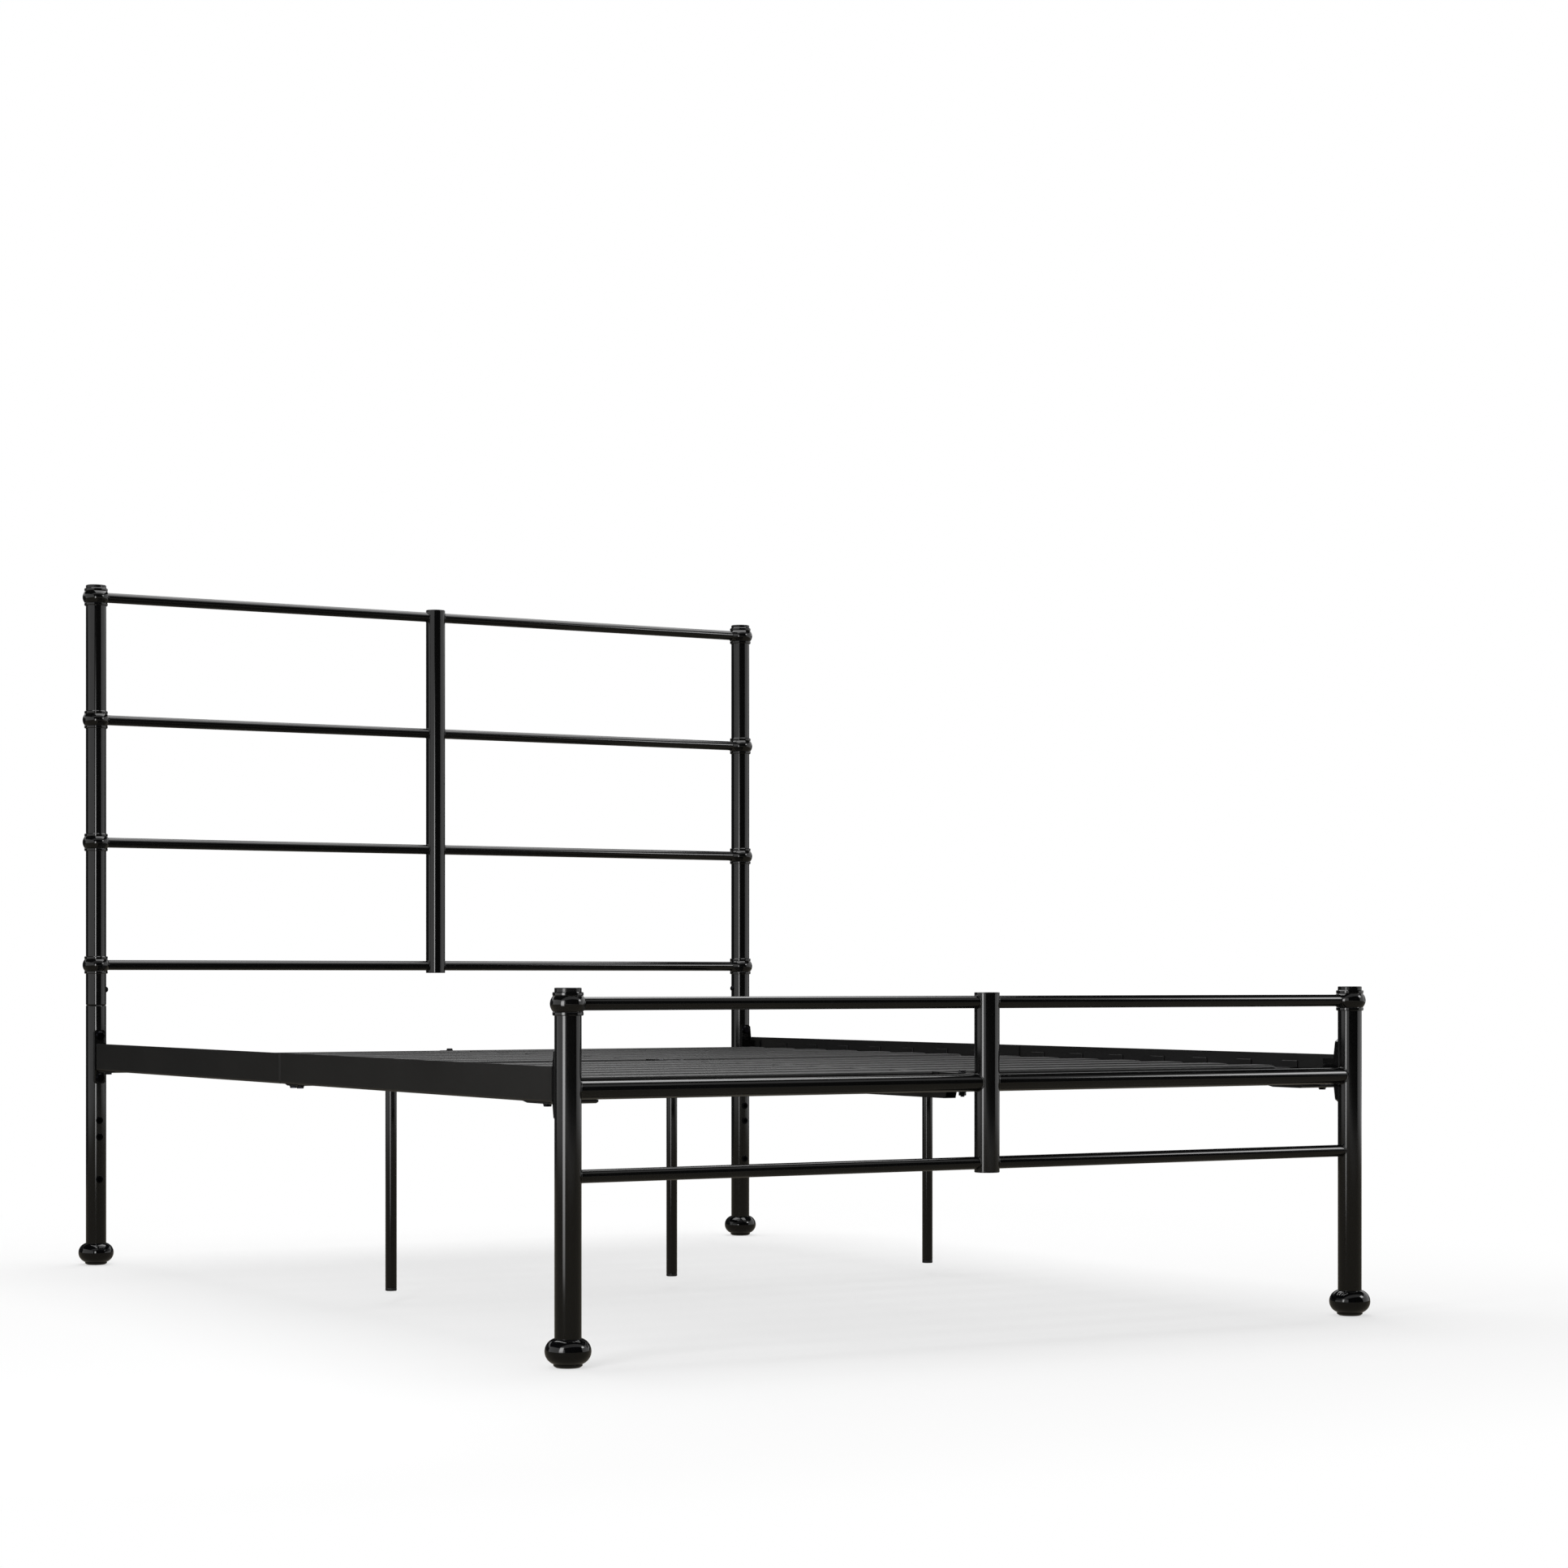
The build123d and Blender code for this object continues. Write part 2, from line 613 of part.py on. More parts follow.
def end_beam(end):
    """Cross member at the head or foot end, with pads that flare towards the middle of the bed."""
    pad = end_pad(end_pad_out, end_pad_in, end_pad_slope / 2, end_pad_slope)
    beam = hollow_beam(end_beam_w, 0.0) + pad + mirror(pad, Plane.YZ)
    for x in (-deck_bolt_x, 0.0, deck_bolt_x):
        beam = beam - rod(m6_hole_d / 2, rail_low_z - 2 * pad_h, beam_top_z + beam_wall, x)
    if end > 0:
        beam = mirror(beam, Plane.XZ)
    return solid_of(Pos(0, end * end_beam_y, 0) * beam)


def center_rail(end):
    """Lengthwise tube notched to ride over the beams, with a bearer strip and a hook plate."""
    low = strap_seat_z - center_rail_h
    y_in = center_rail_gap / 2
    y_out = end_beam_y + end_beam_w / 2
    body_end = end_beam_y - end_beam_w / 2
    beam_edge = leg_beam_w / 2
    side_view = Polyline(
        (y_in, beam_top_z),
        (beam_edge + center_rail_gap, beam_top_z),
        (beam_edge + center_rail_gap, low),
        (body_end - center_rail_end_slope, low),
        (body_end - center_rail_gap, beam_top_z),
        (y_out, beam_top_z),
        (y_out, strap_seat_z),
        (y_in, strap_seat_z),
        close=True,
    )
    half_w = center_rail_w / 2
    bored_w = half_w - center_rail_wall
    profile = make_face(Plane.YZ * side_view)
    body = extrude(Pos(-half_w, 0, 0) * profile, center_rail_w)
    bore = block(-bored_w, bored_w, 0, y_out + half_w, low + center_rail_wall,
                 strap_seat_z - center_rail_wall)
    body = body - bore
    hook_y = end_beam_y - hook_in
    hook = block(-half_w, half_w, hook_y, end_beam_y + hook_out, strap_seat_z, strap_seat_z + strap_t)
    hook_corners = hook.edges().filter_by(Axis.Z).group_by(Axis.Y)[-1]
    bearer = block(-half_w, half_w, strap_len / 2 + bearer_gap, hook_y - bearer_gap, strap_seat_z,
                   deck_support_z)
    rail = body + fillet(hook_corners, half_w / 2) + bearer
    rail = rail - rod(m6_hole_d / 2, low, slat_top_z, 0.0, end_beam_y)
    rail = rail - rod(m6_d / 2, strap_seat_z - 2 * strap_t, slat_top_z, 0.0, strap_bolt_y)
    if end < 0:
        rail = mirror(rail, Plane.XZ)
    return solid_of(rail)


def center_strap():
    """Flat strap that ties the two centre rail halves over the leg beam."""
    half_w = center_rail_w / 2
    strap = block(-half_w, half_w, -strap_len / 2, strap_len / 2, strap_seat_z, strap_seat_z + strap_t)
    strap = fillet(strap.edges().filter_by(Axis.Z), half_w / 2)
    for y in (-strap_bolt_y, strap_bolt_y):
        strap = strap - rod(m6_hole_d / 2, strap_seat_z - strap_t, slat_top_z, 0.0, y)
    return solid_of(strap)


# ---- centre legs ----
def center_leg(x):
    """Leg tube with a threaded nut block in each end, welded in."""
    low = glide_lift + glide_pad_h
    high = beam_top_z - beam_wall
    core = leg_d / 2 - leg_wall
    leg = pipe(leg_d / 2, leg_wall, low, high)
    bottom_nut = rod(core, low, low + leg_nut_h) - rod(glide_stem_d / 2 + glide_clearance, low, high)
    top_nut = rod(core, high - leg_nut_h, high) - rod(m6_d / 2, low, high)
    return solid_of(Pos(x, 0, 0) * (leg + bottom_nut + top_nut))


def leveling_glide(x):
    """Screw-in glide: round foot with eased edges on a threaded stem."""
    foot = Cylinder(leg_d / 2, glide_pad_h, align=UP)
    foot = chamfer(foot.edges().group_by(Axis.Z)[0], glide_pad_h / 5)
    stem = rod(glide_stem_d / 2, 0.0, glide_pad_h + glide_stem_len)
    return solid_of(Pos(x, 0, glide_lift) * (foot + stem))


def deck_bolts():
    """M6 flange bolts of the deck with their nuts."""
    solids = []
    under = rail_low_z - pad_h
    up_bolts = [(side * deck_bolt_x, end * end_beam_y, flange_top_z) for side in (-1, 1) for end in (-1, 1)]
    up_bolts += [(side * deck_bolt_x, y, flange_top_z + rail_t)
                 for side in (-1, 1) for y in (-leg_bolt_y, leg_bolt_y)]
    for x, y, nut_z in up_bolts:
        reach = nut_z + m6_nut_h + m6_overhang - under
        bolt = Pos(x, y, under) * Rot(180, 0, 0) * m6_bolt(reach)
        solids += [solid_of(bolt), solid_of(Pos(x, y, nut_z) * m6_nut())]
    for end in (-1, 1):
        top = strap_seat_z + strap_t
        y = end * end_beam_y
        reach = top - beam_low_z + washer_t + m6_nut_h + m6_overhang
        washer = rod(washer_d / 2, beam_low_z - washer_t, beam_low_z) - rod(m6_d / 2, 0.0, beam_low_z)
        solids.append(solid_of(Pos(0, y, top) * m6_bolt(reach)))
        solids.append(solid_of(Pos(0, y, 0) * washer))
        solids.append(solid_of(Pos(0, y, beam_low_z - washer_t - m6_nut_h) * m6_nut()))
        strap_screw = dome_screw(strap_head_d, strap_head_h, strap_t + center_rail_wall)
        solids.append(solid_of(Pos(0, end * strap_bolt_y, top) * strap_screw))
    for x in leg_xs:
        solids.append(solid_of(Pos(x, 0, beam_top_z) * m6_bolt(leg_nut_h)))
    return solids


def joint_screw(side):
    """Domed screw that pins a headboard post to its leg, on the inner side."""
    screw = dome_screw(joint_head_d, joint_head_h, 3 * post_wall)
    seat = side * (post_x - post_r)
    screw_z = leg_joint_z + joint_screw_above
    return solid_of(Pos(seat, post_y, screw_z) * Rot(0, -90 * side, 0) * screw)


# ---- build every node ----
for side_name, side in sides:
    save("head_post_" + side_name, [head_post(side)])
    save("head_leg_" + side_name, [head_leg(side)])
    save("foot_post_" + side_name, [foot_post(side)])

save("head_center_tube", [center_tube(head_rail_levels, post_y)])
save("foot_center_tube", [center_tube(foot_rail_levels, -post_y)])

for name, z in zip(("bottom", "lower", "upper", "top"), head_rail_levels):
    save("head_rail_" + name, [round_rail(rail_r, side, post_y, z) for side in (-1, 1)])
for name, z in zip(("low", "belt", "top"), foot_rail_levels):
    radius = belt_rail_r if z == foot_belt_rail_z else rail_r
    save("foot_rail_" + name, [round_rail(radius, side, -post_y, z) for side in (-1, 1)])

collars = [collar(side * post_x, post_y, z, -side) for side in (-1, 1) for z in head_rail_levels]
collars += [collar(side * post_x, -post_y, foot_top_rail_z, -side) for side in (-1, 1)]
save("post_collars", collars)

caps = [post_cap(side * post_x, post_y, head_rail_levels[-1] + collar_h / 2) for side in (-1, 1)]
caps += [post_cap(side * post_x, -post_y, foot_top_rail_z + collar_h / 2) for side in (-1, 1)]
save("post_caps", caps)

plugs = []
for levels, y in ((head_rail_levels, post_y), (foot_rail_levels, -post_y)):
    over = center_tube_overrun - plug_h
    plugs.append(tube_plug(levels[-1] + over, 1, y))
    plugs.append(tube_plug(levels[0] - over, -1, y))
save("center_tube_plugs", plugs)

bolts = []
nuts = []
for end_name, end in ends:
    for side_name, side in sides:
        x = side * post_x
        y = end * post_y
        corner_name = end_name + "_" + side_name
        save("ball_foot_" + corner_name, [ball_foot(x, y)])
        save("rail_bracket_" + corner_name, [rail_bracket(side, end)])
        bolts += [bracket_bolt(x, y, -end, z) for z in bolt_zs]
        nuts += [rivet_nut(x, y, -end, z) for z in bolt_zs + spare_zs]
save("frame_bolts", bolts + [joint_screw(side) for side in (-1, 1)])
save("rivet_nuts", nuts)

for side_name, side in sides:
    save("side_rail_foot_" + side_name, [side_rail_foot(side)])
    save("side_rail_head_" + side_name, [side_rail_head(side)])

slat_places = sorted([-y for y in slat_ys] + slat_ys)
for index, y in enumerate(slat_places, start=1):
    save("slat_" + str(index).zfill(2), [slat(y)])

for end_name, end in ends:
    save("end_beam_" + end_name, [end_beam(end)])
    save("center_rail_" + end_name, [center_rail(end)])
save("leg_beam", [leg_beam()])
save("center_strap", [center_strap()])
save("deck_bolts", deck_bolts())

for name, x in zip(("left", "middle", "right"), leg_xs):
    save("center_leg_" + name, [center_leg(x)])
    save("leveling_glide_" + name, [leveling_glide(x)])
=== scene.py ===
import json
import math

import bmesh
import bpy
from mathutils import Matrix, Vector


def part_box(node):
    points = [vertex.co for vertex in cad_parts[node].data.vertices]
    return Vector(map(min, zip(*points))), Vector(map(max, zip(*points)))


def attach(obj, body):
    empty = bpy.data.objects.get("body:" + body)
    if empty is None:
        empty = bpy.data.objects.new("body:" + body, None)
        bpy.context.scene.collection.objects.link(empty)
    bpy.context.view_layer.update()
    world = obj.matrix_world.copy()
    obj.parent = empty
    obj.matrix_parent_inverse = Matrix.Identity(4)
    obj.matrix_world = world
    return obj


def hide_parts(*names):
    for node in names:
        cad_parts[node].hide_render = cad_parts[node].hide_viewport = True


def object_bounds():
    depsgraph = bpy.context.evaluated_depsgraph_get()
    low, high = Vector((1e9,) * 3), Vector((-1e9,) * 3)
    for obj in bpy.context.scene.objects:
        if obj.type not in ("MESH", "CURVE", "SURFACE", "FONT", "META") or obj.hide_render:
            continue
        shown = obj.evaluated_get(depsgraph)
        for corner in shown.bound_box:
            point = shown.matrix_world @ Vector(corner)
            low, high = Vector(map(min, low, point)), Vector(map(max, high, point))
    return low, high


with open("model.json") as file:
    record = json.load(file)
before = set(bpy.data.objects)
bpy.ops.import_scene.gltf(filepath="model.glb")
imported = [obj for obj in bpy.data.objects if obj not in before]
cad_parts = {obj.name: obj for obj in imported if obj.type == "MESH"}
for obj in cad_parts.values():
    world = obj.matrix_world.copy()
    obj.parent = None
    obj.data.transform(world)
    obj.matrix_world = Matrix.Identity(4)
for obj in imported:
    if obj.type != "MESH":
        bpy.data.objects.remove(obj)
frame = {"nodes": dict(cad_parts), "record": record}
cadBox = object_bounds()
bpy.ops.object.select_all(action="DESELECT")
nodes = frame["nodes"]
print("frame loaded:", len(nodes), "nodes")


# materials

def hexColor(code):
    # sRGB hex to the linear values that Blender mixes
    parts = [int(code[i:i + 2], 16) / 255 for i in (0, 2, 4)]
    return tuple(c / 12.92 if c <= 0.04045 else ((c + 0.055) / 1.055) ** 2.4 for c in parts) + (1.0,)


def perMm(size):
    # texture scale for a pattern whose spacing is given in millimetres
    return 1000.0 / size


def addNode(tree, kind, sockets=None, **settings):
    node = tree.nodes.new("ShaderNode" + kind)
    for name, value in settings.items():
        setattr(node, name, value)
    for name, value in (sockets or {}).items():
        if isinstance(value, bpy.types.NodeSocket):
            tree.links.new(value, node.inputs[name])
        else:
            node.inputs[name].default_value = value
    return node


def newMaterial(name):
    material = bpy.data.materials.new(name)
    material.use_nodes = True
    tree = material.node_tree
    tree.nodes.clear()
    output = addNode(tree, "OutputMaterial")
    place = addNode(tree, "TexCoord").outputs["Object"]
    return material, tree, place, output


# every coat below: two shades that drift slowly, roughness that drifts with them, and a fine relief;
# the peel of the gloss coats is the real long wave of sprayed powder, and the grain of the other coats
# is really 0.1 to 0.5 mm, drawn coarser to show
drift = {"detail": 4.0, "low": 0.3, "high": 0.7}        # the span of the slow noise that moves the roughness
peelDetail = 2.0
coats = {
    # gloss black polyester powder on steel tube: deep black, crisp reflections, a faint orange peel
    "glossPowderCoat": {
        "dark": "060606", "light": "0B0B0B", "patchMm": 140, "roughLow": 0.08, "roughHigh": 0.11,
        "peelMm": 9.0, "peelDepthMm": 0.004, "grain": 0.2, "metallic": 0.0, "specular": 0.5},
    # the same powder on the turned collars, which flows out smoother on their curves
    "collarPowderCoat": {
        "dark": "050505", "light": "090909", "patchMm": 60, "roughLow": 0.05, "roughHigh": 0.08,
        "peelMm": 7.0, "peelDepthMm": 0.002, "grain": 0.2, "metallic": 0.0, "specular": 0.5},
    # satin black powder on formed sheet: softer and greyer, with a fine sandy grain
    "satinPowderCoat": {
        "dark": "131313", "light": "191919", "patchMm": 180, "roughLow": 0.34, "roughHigh": 0.42,
        "peelMm": 1.6, "peelDepthMm": 0.006, "grain": 0.8, "metallic": 0.0, "specular": 0.40},
    # injection moulded ball foot, polished tool: wet look
    "polishedMouldedFoot": {
        "dark": "040405", "light": "080809", "patchMm": 50, "roughLow": 0.04, "roughHigh": 0.07,
        "peelMm": 12.0, "peelDepthMm": 0.004, "grain": 0.1, "metallic": 0.0, "specular": 0.45},
    # moulded end cap, lightly textured tool
    "mouldedCap": {
        "dark": "080808", "light": "0E0E0F", "patchMm": 40, "roughLow": 0.14, "roughHigh": 0.22,
        "peelMm": 0.9, "peelDepthMm": 0.006, "grain": 0.5, "metallic": 0.0, "specular": 0.40},
    # black zinc plated fastener: dark metal with a bright sheen on its edges
    "blackZincPlate": {
        "dark": "131316", "light": "202024", "patchMm": 12, "roughLow": 0.18, "roughHigh": 0.30,
        "peelMm": 0.6, "peelDepthMm": 0.003, "grain": 0.7, "metallic": 1.0, "specular": 0.5},
    # black nylon glide: dull and slightly pitted
    "nylonGlide": {
        "dark": "111112", "light": "19191A", "patchMm": 20, "roughLow": 0.48, "roughHigh": 0.60,
        "peelMm": 0.8, "peelDepthMm": 0.02, "grain": 0.9, "metallic": 0.0, "specular": 0.40},
}


def coatMaterial(name):
    coat = coats[name]
    material, tree, place, output = newMaterial(name)
    patches = addNode(tree, "TexNoise", {"Vector": place, "Scale": perMm(coat["patchMm"]),
                                         "Detail": drift["detail"]})
    patch = patches.outputs["Fac"]
    shade = addNode(tree, "Mix", {"Factor": patch, "A": hexColor(coat["dark"]), "B": hexColor(coat["light"])},
                    data_type="RGBA")
    rough = addNode(tree, "MapRange", {"Value": patch, "From Min": drift["low"], "From Max": drift["high"],
                                       "To Min": coat["roughLow"], "To Max": coat["roughHigh"]})
    peel = addNode(tree, "TexNoise", {"Vector": place, "Scale": perMm(coat["peelMm"]),
                                      "Detail": peelDetail, "Roughness": coat["grain"]})
    relief = addNode(tree, "Bump", {"Height": peel.outputs["Fac"], "Strength": 1.0,
                                    "Distance": coat["peelDepthMm"] / 1000})
    shader = addNode(tree, "BsdfPrincipled", {
        "Base Color": shade.outputs["Result"], "Roughness": rough.outputs["Result"],
        "Metallic": coat["metallic"], "Specular IOR Level": coat["specular"],
        "Normal": relief.outputs["Normal"]})
    tree.links.new(shader.outputs["BSDF"], output.inputs["Surface"])
    return material


finishes = {name: coatMaterial(name) for name in coats}
slotFinish = {"tube_paint": "glossPowderCoat", "collar_paint": "collarPowderCoat",
              "deck_paint": "satinPowderCoat", "ball_foot_gloss": "polishedMouldedFoot",
              "cap_plastic": "mouldedCap", "black_fastener": "blackZincPlate", "glide_nylon": "nylonGlide"}
for part in frame["record"]["subparts"]:
    node = nodes[part["node"]]
    node.data.materials.clear()
    node.data.materials.append(finishes[slotFinish[part["material_slot"]]])
print("materials assigned")


# helpers for new pieces

def middleOf(node):
    low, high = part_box(node)
    return [(a + b) / 2 for a, b in zip(low, high)]


def halfHeight(node):
    low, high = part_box(node)
    return (high[2] - low[2]) / 2


def makeActive(piece):
    bpy.ops.object.select_all(action="DESELECT")
    piece.select_set(True)
    bpy.context.view_layer.objects.active = piece


def startEdit(piece, part):
    # edit mode with nothing selected; part is VERT or EDGE
    makeActive(piece)
    bpy.ops.object.mode_set(mode="EDIT")
    bpy.ops.mesh.select_mode(type=part)
    bpy.ops.mesh.select_all(action="DESELECT")


def pick(piece, part, test):
    # selects the corners or the edges whose middle passes the test
    mesh = bmesh.from_edit_mesh(piece.data)
    if part == "VERT":
        for corner in mesh.verts:
            corner.select_set(test(corner.co))
    else:
        for edge in mesh.edges:
            first, second = edge.verts
            edge.select_set(test((first.co + second.co) / 2))
    mesh.select_flush_mode()
    bmesh.update_edit_mesh(piece.data)


def endEdit():
    bpy.ops.object.mode_set(mode="OBJECT")


def applyModifier(piece, kind, **settings):
    makeActive(piece)
    step = piece.modifiers.new(kind, kind)
    for name, value in settings.items():
        setattr(step, name, value)
    bpy.ops.object.modifier_apply(modifier=step.name)


mergeGap = 0.00001      # corners closer than this are one


def closeShell(piece):
    # merged, closed and facing outwards
    startEdit(piece, "VERT")
    bpy.ops.mesh.select_all(action="SELECT")
    bpy.ops.mesh.remove_doubles(threshold=mergeGap)
    bpy.ops.mesh.fill_holes(sides=0)
    bpy.ops.mesh.normals_make_consistent(inside=False)
    endEdit()


def placeCopy(model, name, place, turn=0.0):
    # a copy with its own mesh, turned about Z and put at its place, with the place in the mesh
    piece = model.copy()
    piece.data = model.data.copy()
    bpy.context.scene.collection.objects.link(piece)
    piece.name = name
    piece.location = place
    piece.rotation_euler = (0, 0, math.radians(turn))
    makeActive(piece)
    bpy.ops.object.transform_apply(location=True, rotation=True, scale=True)
    return piece


def dress(piece, body, slot, smoothAngle):
    makeActive(piece)
    bpy.ops.object.shade_smooth_by_angle(angle=math.radians(smoothAngle))
    piece.data.materials.clear()
    piece.data.materials.append(finishes[slotFinish[slot]])
    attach(piece, body)


# weld beads where the round rails meet the upright tubes

weldBead = {"radiusMm": 1.1, "sinkMm": 0.45, "around": 40, "across": 10, "wobbleMm": 0.07, "seed": 4,
            "steepest": 0.95,       # of the tube's radius, where a wide bead stops wrapping round it
            "smoothAngle": 80}


def modelBead(railRadius, tubeRadius):
    # a ring round the rail's end, bent round the tube; the tube stands towards +Y
    thick = weldBead["radiusMm"] / 1000
    ring = railRadius + thick - 2 * weldBead["sinkMm"] / 1000
    bpy.ops.mesh.primitive_torus_add(major_segments=weldBead["around"], minor_segments=weldBead["across"],
                                     major_radius=ring, minor_radius=thick, rotation=(math.pi / 2, 0, 0))
    bead = bpy.context.object
    bpy.ops.object.transform_apply(location=True, rotation=True, scale=True)
    startEdit(bead, "VERT")
    bpy.ops.mesh.select_all(action="SELECT")
    wrapped = tubeRadius * math.asin(min(weldBead["steepest"], ring / tubeRadius)) / ring
    bpy.ops.transform.resize(value=(wrapped, 1.0, 1.0), center_override=(0, 0, 0))
    bpy.ops.transform.vertex_random(offset=weldBead["wobbleMm"] / 1000, seed=weldBead["seed"])
    endEdit()
    applyModifier(bead, "SIMPLE_DEFORM", deform_method="BEND", deform_axis="Z",
                  angle=2 * (wrapped * ring + thick) / tubeRadius)
    closeShell(bead)
    return bead


def makeBeads():
    rails = ["head_rail_bottom", "head_rail_lower", "head_rail_upper", "head_rail_top",
             "foot_rail_low", "foot_rail_belt", "foot_rail_top"]
    count = 0
    for rail in rails:
        tube = rail[:4] + "_center_tube"
        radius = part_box(tube)[1][0]
        bead = modelBead(halfHeight(rail), radius)
        _, y, z = middleOf(rail)
        spots = [(0.0, 1), (0.0, -1)]
        if rail in ("foot_rail_low", "foot_rail_belt"):
            spots += [(middleOf("foot_post_left")[0], 1), (middleOf("foot_post_right")[0], -1)]
        for x, away in spots:
            count += 1
            piece = placeCopy(bead, "weld_bead_" + str(count).zfill(2), (x + away * radius, y, z), 90 * away)
            dress(piece, "frame", "tube_paint", weldBead["smoothAngle"])
        bpy.data.objects.remove(bead)
    print("weld beads:", count)


makeBeads()


# levelling glides: moulded foot on a threaded stem

glide = {"footMm": 5.5, "footEdgeMm": 1.1, "footSides": 56, "edgeSteps": 4,
         "stemMm": 8.0, "pitchMm": 2.5, "depthMm": 0.55, "sinkMm": 1.0, "steps": 20,
         "crestCuts": 3, "crest": (0.4, 0.8),       # where the crest lies in one pitch
         "smoothAngle": 35}


def modelGlide(footRadius, height):
    foot = glide["footMm"] / 1000
    bpy.ops.mesh.primitive_cylinder_add(vertices=glide["footSides"], radius=footRadius, depth=foot,
                                        location=(0, 0, foot / 2))
    pad = bpy.context.object
    bpy.ops.object.transform_apply(location=True, rotation=True, scale=True)
    startEdit(pad, "EDGE")
    # the two round rims; the upright edges have their middles at half height
    pick(pad, "EDGE", lambda spot: abs(spot.z - foot / 2) > foot / 4)
    bpy.ops.mesh.bevel(offset=glide["footEdgeMm"] / 1000, segments=glide["edgeSteps"], affect="EDGES")
    endEdit()
    # one pitch of the thread's outline, then turned up the stem; really 1.25 mm, drawn coarser to show
    pitch = glide["pitchMm"] / 1000
    depth = glide["depthMm"] / 1000
    root = glide["stemMm"] / 2000 - depth
    start = foot - glide["sinkMm"] / 1000
    bpy.ops.mesh.primitive_plane_add(size=pitch, rotation=(math.pi / 2, 0, 0),
                                     location=(root + pitch / 2, 0, start + pitch / 2))
    stem = bpy.context.object
    bpy.ops.object.transform_apply(location=True, rotation=True, scale=True)
    startEdit(stem, "VERT")
    pick(stem, "VERT", lambda spot: spot.x > root + pitch / 2)
    bpy.ops.mesh.delete(type="VERT")
    bpy.ops.mesh.select_all(action="SELECT")
    bpy.ops.mesh.subdivide(number_cuts=glide["crestCuts"])
    crestLow, crestHigh = (start + share * pitch for share in glide["crest"])
    pick(stem, "VERT", lambda spot: crestLow < spot.z < crestHigh)
    bpy.ops.transform.translate(value=(depth, 0, 0))
    endEdit()
    turns = int((height - start) / pitch) - 1
    applyModifier(stem, "SCREW", axis="Z", screw_offset=pitch, iterations=turns, steps=glide["steps"],
                  render_steps=glide["steps"], use_merge_vertices=True)
    closeShell(stem)
    pad.select_set(True)
    bpy.context.view_layer.objects.active = pad
    bpy.ops.object.join()
    return pad


def makeGlides():
    low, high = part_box("leveling_glide_middle")
    model = modelGlide((high[0] - low[0]) / 2, high[2] - low[2])
    places = ("left", "middle", "right")
    for place in places:
        node = "leveling_glide_" + place
        x, y, _ = middleOf(node)
        piece = placeCopy(model, "threaded_glide_" + place, (x, y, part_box(node)[0][2]))
        dress(piece, "glide_" + place, "glide_nylon", glide["smoothAngle"])
        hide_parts(node)
    bpy.data.objects.remove(model)
    print("levelling glides:", len(places))


makeGlides()


# studio: pale floor, white surroundings, two softboxes, and cards that only reflections see

studio = {
    "ambient": 0.42,        # how much of the white surroundings lights the bed
    "floorRadius": 14.0, "floorSides": 96, "floorShade": "EDEDED",
    "floorShare": 0.62,     # how far the floor is white of itself round the bed
    "fadeStart": 0.10, "fadeEnd": 1.30,     # from there it turns wholly white
}

softboxes = {
    "overheadSoftbox": {"size": (3.2, 3.4), "place": (0.4, 1.0, 3.3), "aim": (0.4, 1.0, 0.0),
                        "power": 120.0, "mirrored": True},
    "stripSoftbox": {"size": (0.50, 2.8), "place": (-1.85, -1.58, 1.3), "aim": (-0.2, -0.1, 1.3),
                     "power": 22.0, "mirrored": False},
}

cards = {
    # the two bright ones draw the streaks down the posts and along the rails
    "stripCard": {"size": (0.62, 1.70), "place": (-1.85, -1.58, 0.65), "tilt": 90.0, "turn": 132.0,
                  "color": "FFFFFF", "level": 9.0, "fade": (0.50, 0.76)},
    "sideCard": {"size": (1.5, 1.3), "place": (3.1, -2.9, 2.5), "tilt": 52.0, "turn": 52.0,
                 "color": "FFFFFF", "level": 9.0, "fade": (0.50, 0.50)},
    # a half-bright strip of ceiling in front of the footboard
    "frontCard": {"size": (16.0, 3.4), "place": (0.0, -3.9, 5.1), "tilt": 0.0, "turn": 0.0,
                  "color": "FFFFFF", "level": 0.55, "fade": (0.01, 0.20)},
    # the dark ones are dim sheets that only reflections see, painted shade standing in for dark surroundings,
    # so black paint stays black in front of the white surroundings
    "rearCard": {"size": (13.8, 7.0), "place": (-1.46, -7.5, 3.0), "tilt": 90.0, "turn": 12.0,
                 "color": "FFFFFF", "level": 0.02, "fade": (0.01, 0.01)},
    "backCard": {"size": (24.7, 4.0), "place": (7.65, 3.3, 0.0), "tilt": 90.0, "turn": 0.0,
                 "color": "FFFFFF", "level": 0.05, "fade": (0.01, 0.25)},
    "ceilingCard": {"size": (16.0, 16.0), "place": (0.0, 0.0, 5.2), "tilt": 0.0, "turn": 0.0,
                    "color": "FFFFFF", "level": 0.02, "fade": (0.01, 0.01)},
    # a warm grey sheet over the floor that only reflections see and that fades out with distance: painted
    # shade in the floor's reflection, while the camera sees the floor white
    "floorCard": {"size": (16.0, 16.0), "place": (0.0, 0.0, 0.0005), "tilt": 0.0, "turn": 0.0,
                  "color": "FFF5E0", "level": 0.22, "fade": (0.46, 0.46)},
}


def cameraMask(tree):
    # 1 for the rays that show the background: camera, glossy and transmission
    path = addNode(tree, "LightPath")
    seen = addNode(tree, "Math", {0: path.outputs["Is Camera Ray"], 1: path.outputs["Is Glossy Ray"]},
                   operation="MAXIMUM")
    both = addNode(tree, "Math", {0: seen.outputs[0], 1: path.outputs["Is Transmission Ray"]},
                   operation="MAXIMUM")
    return both.outputs[0]


def makeWorld():
    world = bpy.data.worlds.new("studioWorld")
    world.use_nodes = True
    bpy.context.scene.world = world
    tree = world.node_tree
    tree.nodes.clear()
    output = addNode(tree, "OutputWorld")
    level = addNode(tree, "MapRange", {"Value": cameraMask(tree), "To Min": studio["ambient"], "To Max": 1.0})
    back = addNode(tree, "Background", {"Color": (1, 1, 1, 1), "Strength": level.outputs["Result"]})
    tree.links.new(back.outputs[0], output.inputs["Surface"])


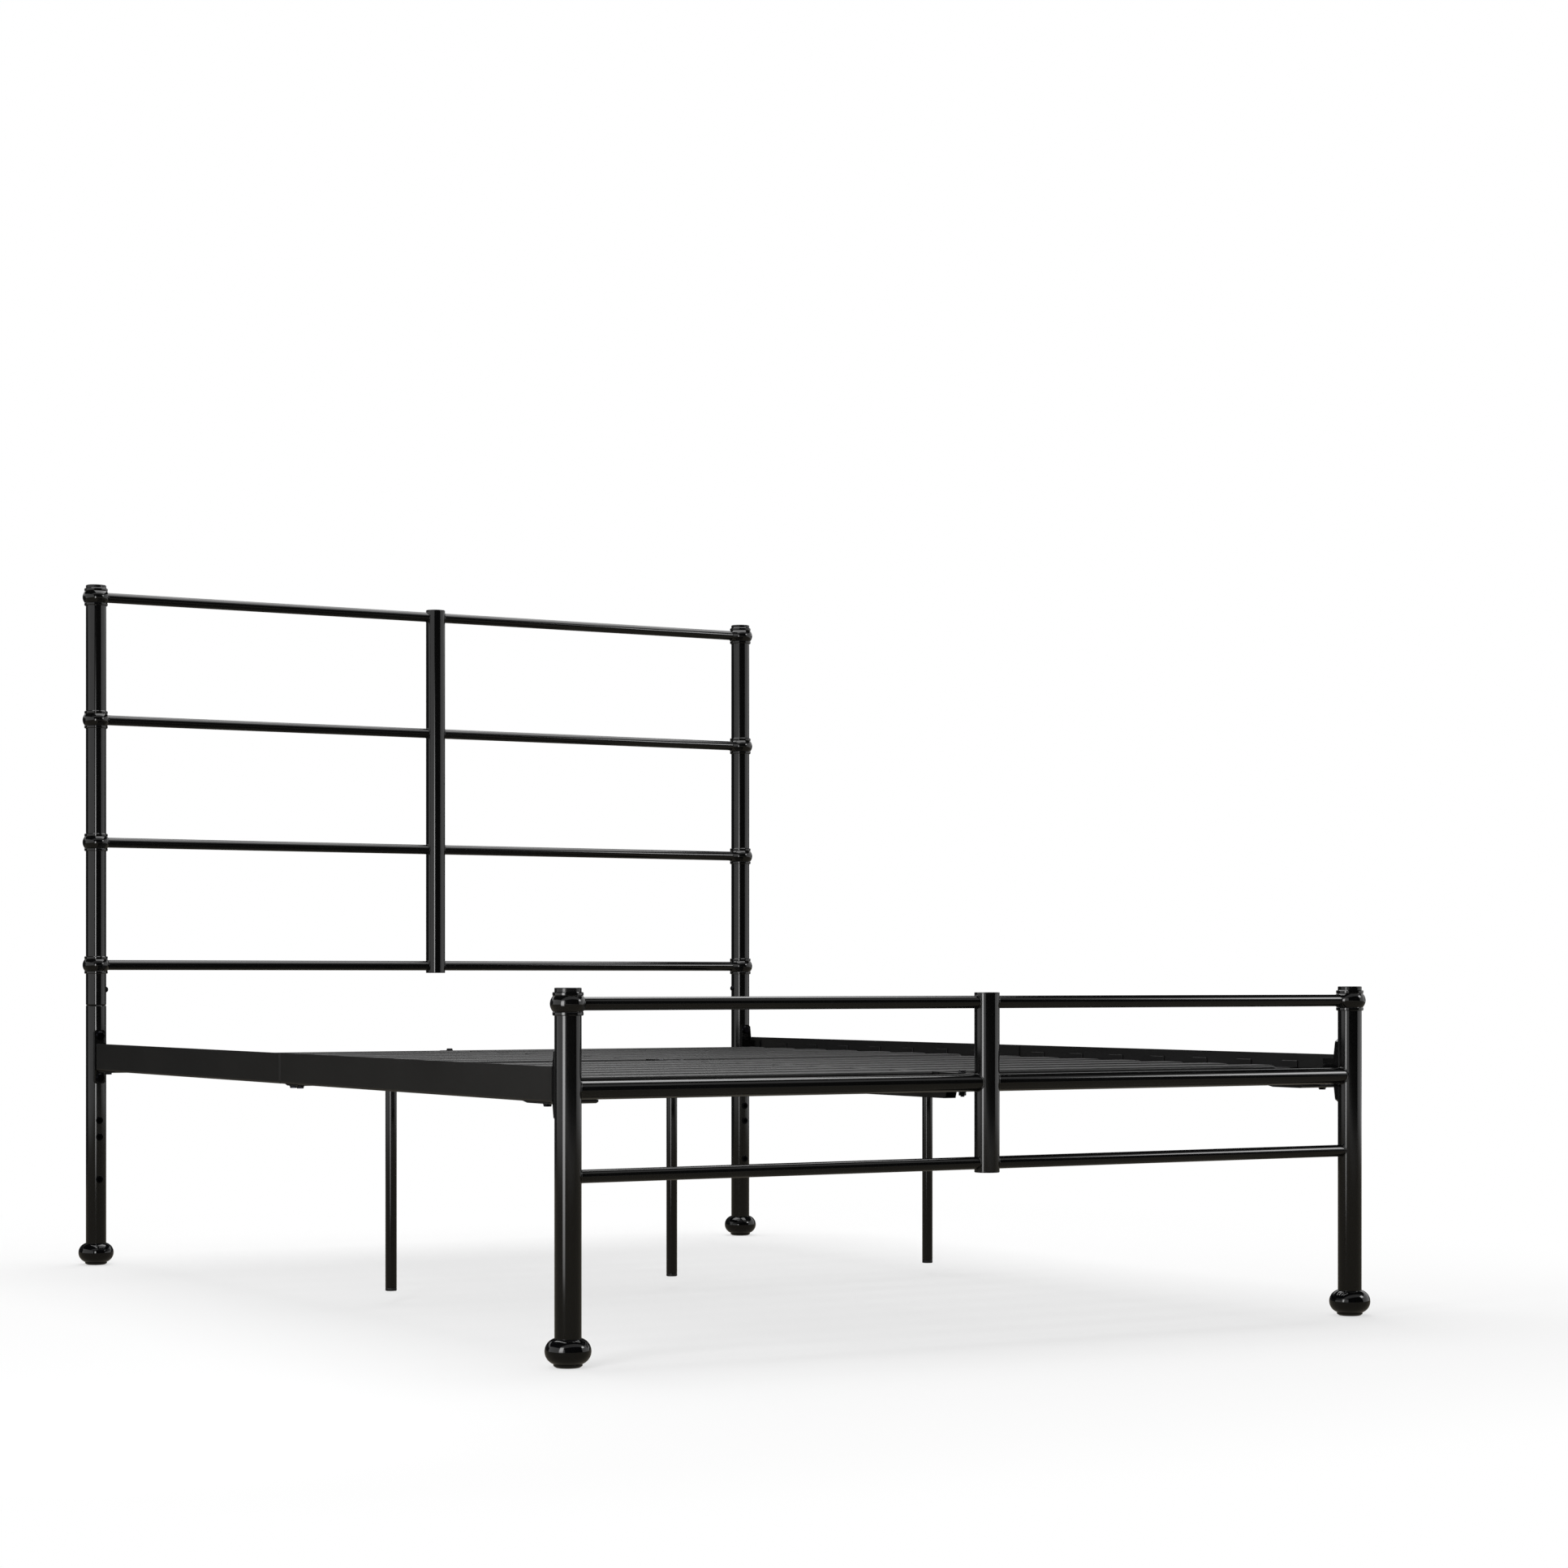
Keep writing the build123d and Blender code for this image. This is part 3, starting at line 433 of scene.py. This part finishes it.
def makeFloor():
    bpy.ops.mesh.primitive_circle_add(vertices=studio["floorSides"], radius=studio["floorRadius"],
                                      fill_type="NGON")
    floor = bpy.context.object
    floor.name = "studioFloor"
    material, tree, place, output = newMaterial("paleFloor")
    # how far a point lies outside the rectangle that the bed covers
    reach = [max(abs(a), abs(b)) for a, b in zip(*cadBox)]
    folded = addNode(tree, "VectorMath", {0: place}, operation="ABSOLUTE")
    beyond = addNode(tree, "VectorMath", {0: folded.outputs["Vector"], 1: (reach[0], reach[1], 0.0)},
                     operation="SUBTRACT")
    outside = addNode(tree, "VectorMath", {0: beyond.outputs["Vector"], 1: (0.0, 0.0, 0.0)},
                      operation="MAXIMUM")
    distance = addNode(tree, "VectorMath", {0: outside.outputs["Vector"]}, operation="LENGTH")
    fade = addNode(tree, "MapRange", {"Value": distance.outputs["Value"], "From Min": studio["fadeStart"],
                                      "From Max": studio["fadeEnd"], "To Min": studio["floorShare"]},
                   interpolation_type="SMOOTHSTEP")
    share = addNode(tree, "Math", {0: fade.outputs["Result"], 1: cameraMask(tree)}, operation="MULTIPLY")
    near = addNode(tree, "BsdfDiffuse", {"Color": hexColor(studio["floorShade"])})
    far = addNode(tree, "Emission", {"Color": (1, 1, 1, 1), "Strength": 1.0})
    blend = addNode(tree, "MixShader", {"Fac": share.outputs[0], 1: near.outputs[0], 2: far.outputs[0]})
    tree.links.new(blend.outputs[0], output.inputs["Surface"])
    floor.data.materials.append(material)


def makeCard(name, card):
    # a card that only reflections see; it fades out over a share of its half width and half height
    turn = (math.radians(card["tilt"]), 0, math.radians(card["turn"]))
    bpy.ops.mesh.primitive_plane_add(size=2.0, location=card["place"], rotation=turn)
    panel = bpy.context.object
    panel.name = name
    panel.scale = (card["size"][0] / 2, card["size"][1] / 2, 1.0)
    material, tree, place, output = newMaterial(name + "Cloth")
    reach = addNode(tree, "VectorMath", {0: place}, operation="ABSOLUTE")
    across = addNode(tree, "SeparateXYZ", {"Vector": reach.outputs["Vector"]})
    solid = [addNode(tree, "MapRange", {"Value": across.outputs[axis], "From Min": 1.0,
                                        "From Max": 1.0 - fade},
                     interpolation_type="SMOOTHSTEP").outputs["Result"]
             for axis, fade in zip(("X", "Y"), card["fade"])]
    mask = addNode(tree, "Math", {0: solid[0], 1: solid[1]}, operation="MULTIPLY")
    cloth = addNode(tree, "Emission", {"Color": hexColor(card["color"]), "Strength": card["level"]})
    clear = addNode(tree, "BsdfTransparent")
    blend = addNode(tree, "MixShader", {"Fac": mask.outputs[0], 1: clear.outputs[0], 2: cloth.outputs[0]})
    tree.links.new(blend.outputs[0], output.inputs["Surface"])
    panel.data.materials.append(material)
    panel.visible_camera = False
    panel.visible_diffuse = False
    panel.visible_shadow = False
    panel.visible_transmission = False


def makeSoftbox(name, softbox):
    light = bpy.data.lights.new(name, "AREA")
    light.shape = "RECTANGLE"
    light.size, light.size_y = softbox["size"]
    light.energy = softbox["power"]
    holder = bpy.data.objects.new(name, light)
    bpy.context.scene.collection.objects.link(holder)
    holder.location = softbox["place"]
    toward = [a - b for a, b in zip(softbox["aim"], softbox["place"])]
    holder.rotation_euler = (math.acos(-toward[2] / math.hypot(*toward)), 0,
                             math.atan2(-toward[0], toward[1]))
    holder.visible_camera = False
    holder.visible_glossy = softbox["mirrored"]


makeWorld()
makeFloor()
for cardName, card in cards.items():
    makeCard(cardName, card)
for boxName, softbox in softboxes.items():
    makeSoftbox(boxName, softbox)
print("studio ready")


# camera: level, low and left of the foot end

view = {"place": (-2.8356, -5.1330, 0.5424), "turn": -30.838,
        "lens": 76.84, "sensor": 36.0, "shiftY": 0.1237}
lens = bpy.data.cameras.new("productCamera")
lens.sensor_width = view["sensor"]
lens.lens = view["lens"]
lens.shift_y = view["shiftY"]
camera = bpy.data.objects.new("productCamera", lens)
bpy.context.scene.collection.objects.link(camera)
camera.location = view["place"]
camera.rotation_euler = (math.pi / 2, 0, math.radians(view["turn"]))
bpy.context.scene.camera = camera
bpy.context.scene.view_settings.view_transform = "Standard"
print("camera ready")
